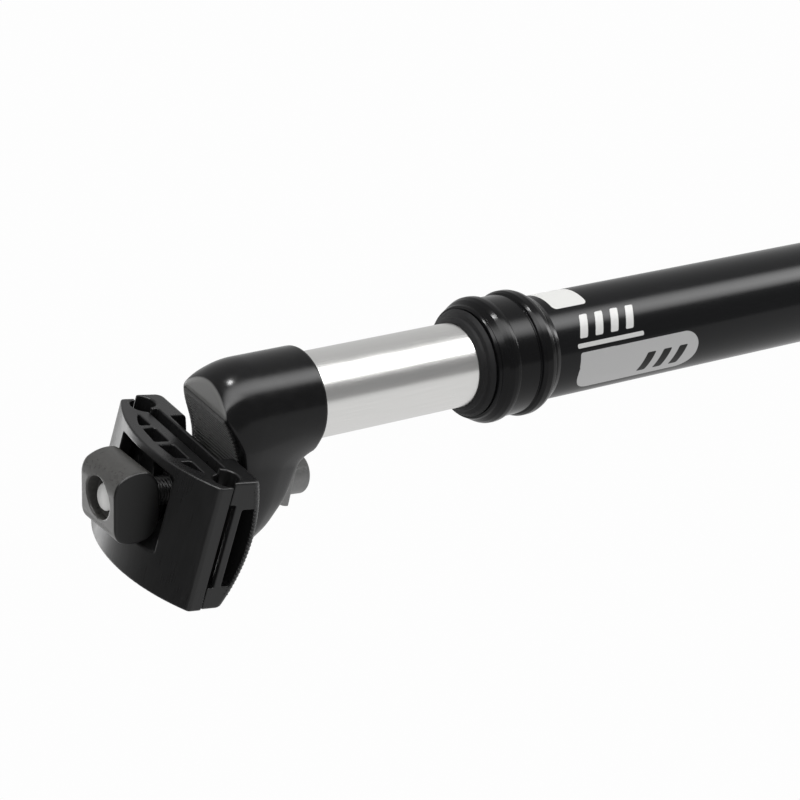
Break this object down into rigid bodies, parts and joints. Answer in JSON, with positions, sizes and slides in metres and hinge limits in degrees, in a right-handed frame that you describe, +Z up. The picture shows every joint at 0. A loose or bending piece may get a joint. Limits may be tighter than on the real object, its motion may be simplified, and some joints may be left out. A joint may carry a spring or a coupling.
{
  "type": "suspension seatpost",
  "caption": "Telescopic sprung bicycle seatpost: black tube, threaded collar with a wiper, bright stanchion and a forged head with a one-bolt rail clamp.",
  "frame": {"origin": "on the post's axis at the open lower end of the outer tube", "axes": "+Z up the post towards the saddle, +X towards the handlebar, +Y to the rider's left"},
  "size_m": [0.0635, 0.0532, 0.3725],
  "materials": {
    "black_anodised": "glossy black anodised",
    "black_collar": "glossy black anodised, turned",
    "black_forged": "glossy black anodised forging",
    "polished_silver": "bright polished tube",
    "wiper_rubber": "dull",
    "bumper_elastomer": "dull",
    "acetal": "satin",
    "grey_aluminium": "machined",
    "brass": "machined",
    "spring_steel": "oiled wire",
    "bolt_steel": "zinc plated"
  },
  "bodies": {
    "post_body": {"outer_tube": "black_anodised", "collar_nut": "black_collar", "wiper_seal": "wiper_rubber", "wiper_backing_ring": "bolt_steel", "upper_bushing": "acetal", "coil_spring": "spring_steel"},
    "stanchion": {"inner_tube": "polished_silver", "seat_head": "black_forged", "stanchion_plug": "grey_aluminium", "bottom_out_bumper": "bumper_elastomer", "lower_bushing": "acetal", "topout_bumper": "bumper_elastomer", "anti_rotation_key_1": "brass", "anti_rotation_key_2": "brass", "anti_rotation_key_3": "brass"},
    "spring_stack": {"spring_seat": "acetal", "spring_guide_rod": "bolt_steel"},
    "preload_plug": {"preload_plug": "black_anodised"},
    "lower_clamp": {"lower_clamp": "black_forged"},
    "upper_clamp": {"upper_clamp": "black_forged"},
    "bolt_washer": {"bolt_washer": "bolt_steel"},
    "clamp_bolt": {"clamp_bolt": "bolt_steel"},
    "barrel_nut": {"barrel_nut": "black_anodised"}
  },
  "joints": [
    {"name": "suspension_travel", "type": "slide", "parent": "post_body", "child": "stanchion", "axis": [0, 0, 1], "range_m": [-0.04, 0], "stiffness_N_per_m": 17000, "springref_m": 0.01, "deforming": ["coil_spring"]},
    {"name": "preload_turn", "type": "hinge", "parent": "spring_stack", "child": "preload_plug", "pos_m": [0, 0, 0], "axis": [0, 0, 1], "range_deg": [0, 1441]},
    {"name": "spring_seat_rise", "type": "slide", "parent": "post_body", "child": "spring_stack", "axis": [0, 0, 1], "range_m": [0, 0.006], "deforming": ["coil_spring"]},
    {"name": "saddle_tilt", "type": "hinge", "parent": "stanchion", "child": "lower_clamp", "pos_m": [-0.0215, 0, 0.3826], "axis": [0, 1, 0], "range_deg": [-12, 8]},
    {"name": "bolt_lean", "type": "hinge", "parent": "stanchion", "child": "bolt_washer", "pos_m": [-0.02458, 0, 0.3125], "axis": [0, 1, 0], "range_deg": [-2.5, 3.6]},
    {"name": "clamp_bolt_turn", "type": "hinge", "parent": "bolt_washer", "child": "clamp_bolt", "pos_m": [-0.02458, 0, 0.3125], "axis": [-0.1045, 0, -0.9945], "range_deg": [0, 1441]},
    {"name": "nut_lift", "type": "slide", "parent": "bolt_washer", "child": "barrel_nut", "axis": [0.1045, 0, 0.9945], "range_m": [0, 0.0041]},
    {"name": "jaw_lift", "type": "slide", "parent": "lower_clamp", "child": "upper_clamp", "axis": [0.1668, 0, 0.986], "range_m": [0, 0.004]}
  ],
  "couplings": [
    {"joint": "preload_turn", "follows": "spring_seat_rise", "rad_per_m": 4188.8},
    {"joint": "bolt_lean", "follows": "saddle_tilt", "ratio": -0.288},
    {"joint": "nut_lift", "follows": "jaw_lift", "ratio": 1},
    {"joint": "clamp_bolt_turn", "follows": "jaw_lift", "rad_per_m": 6283.2}
  ]
}
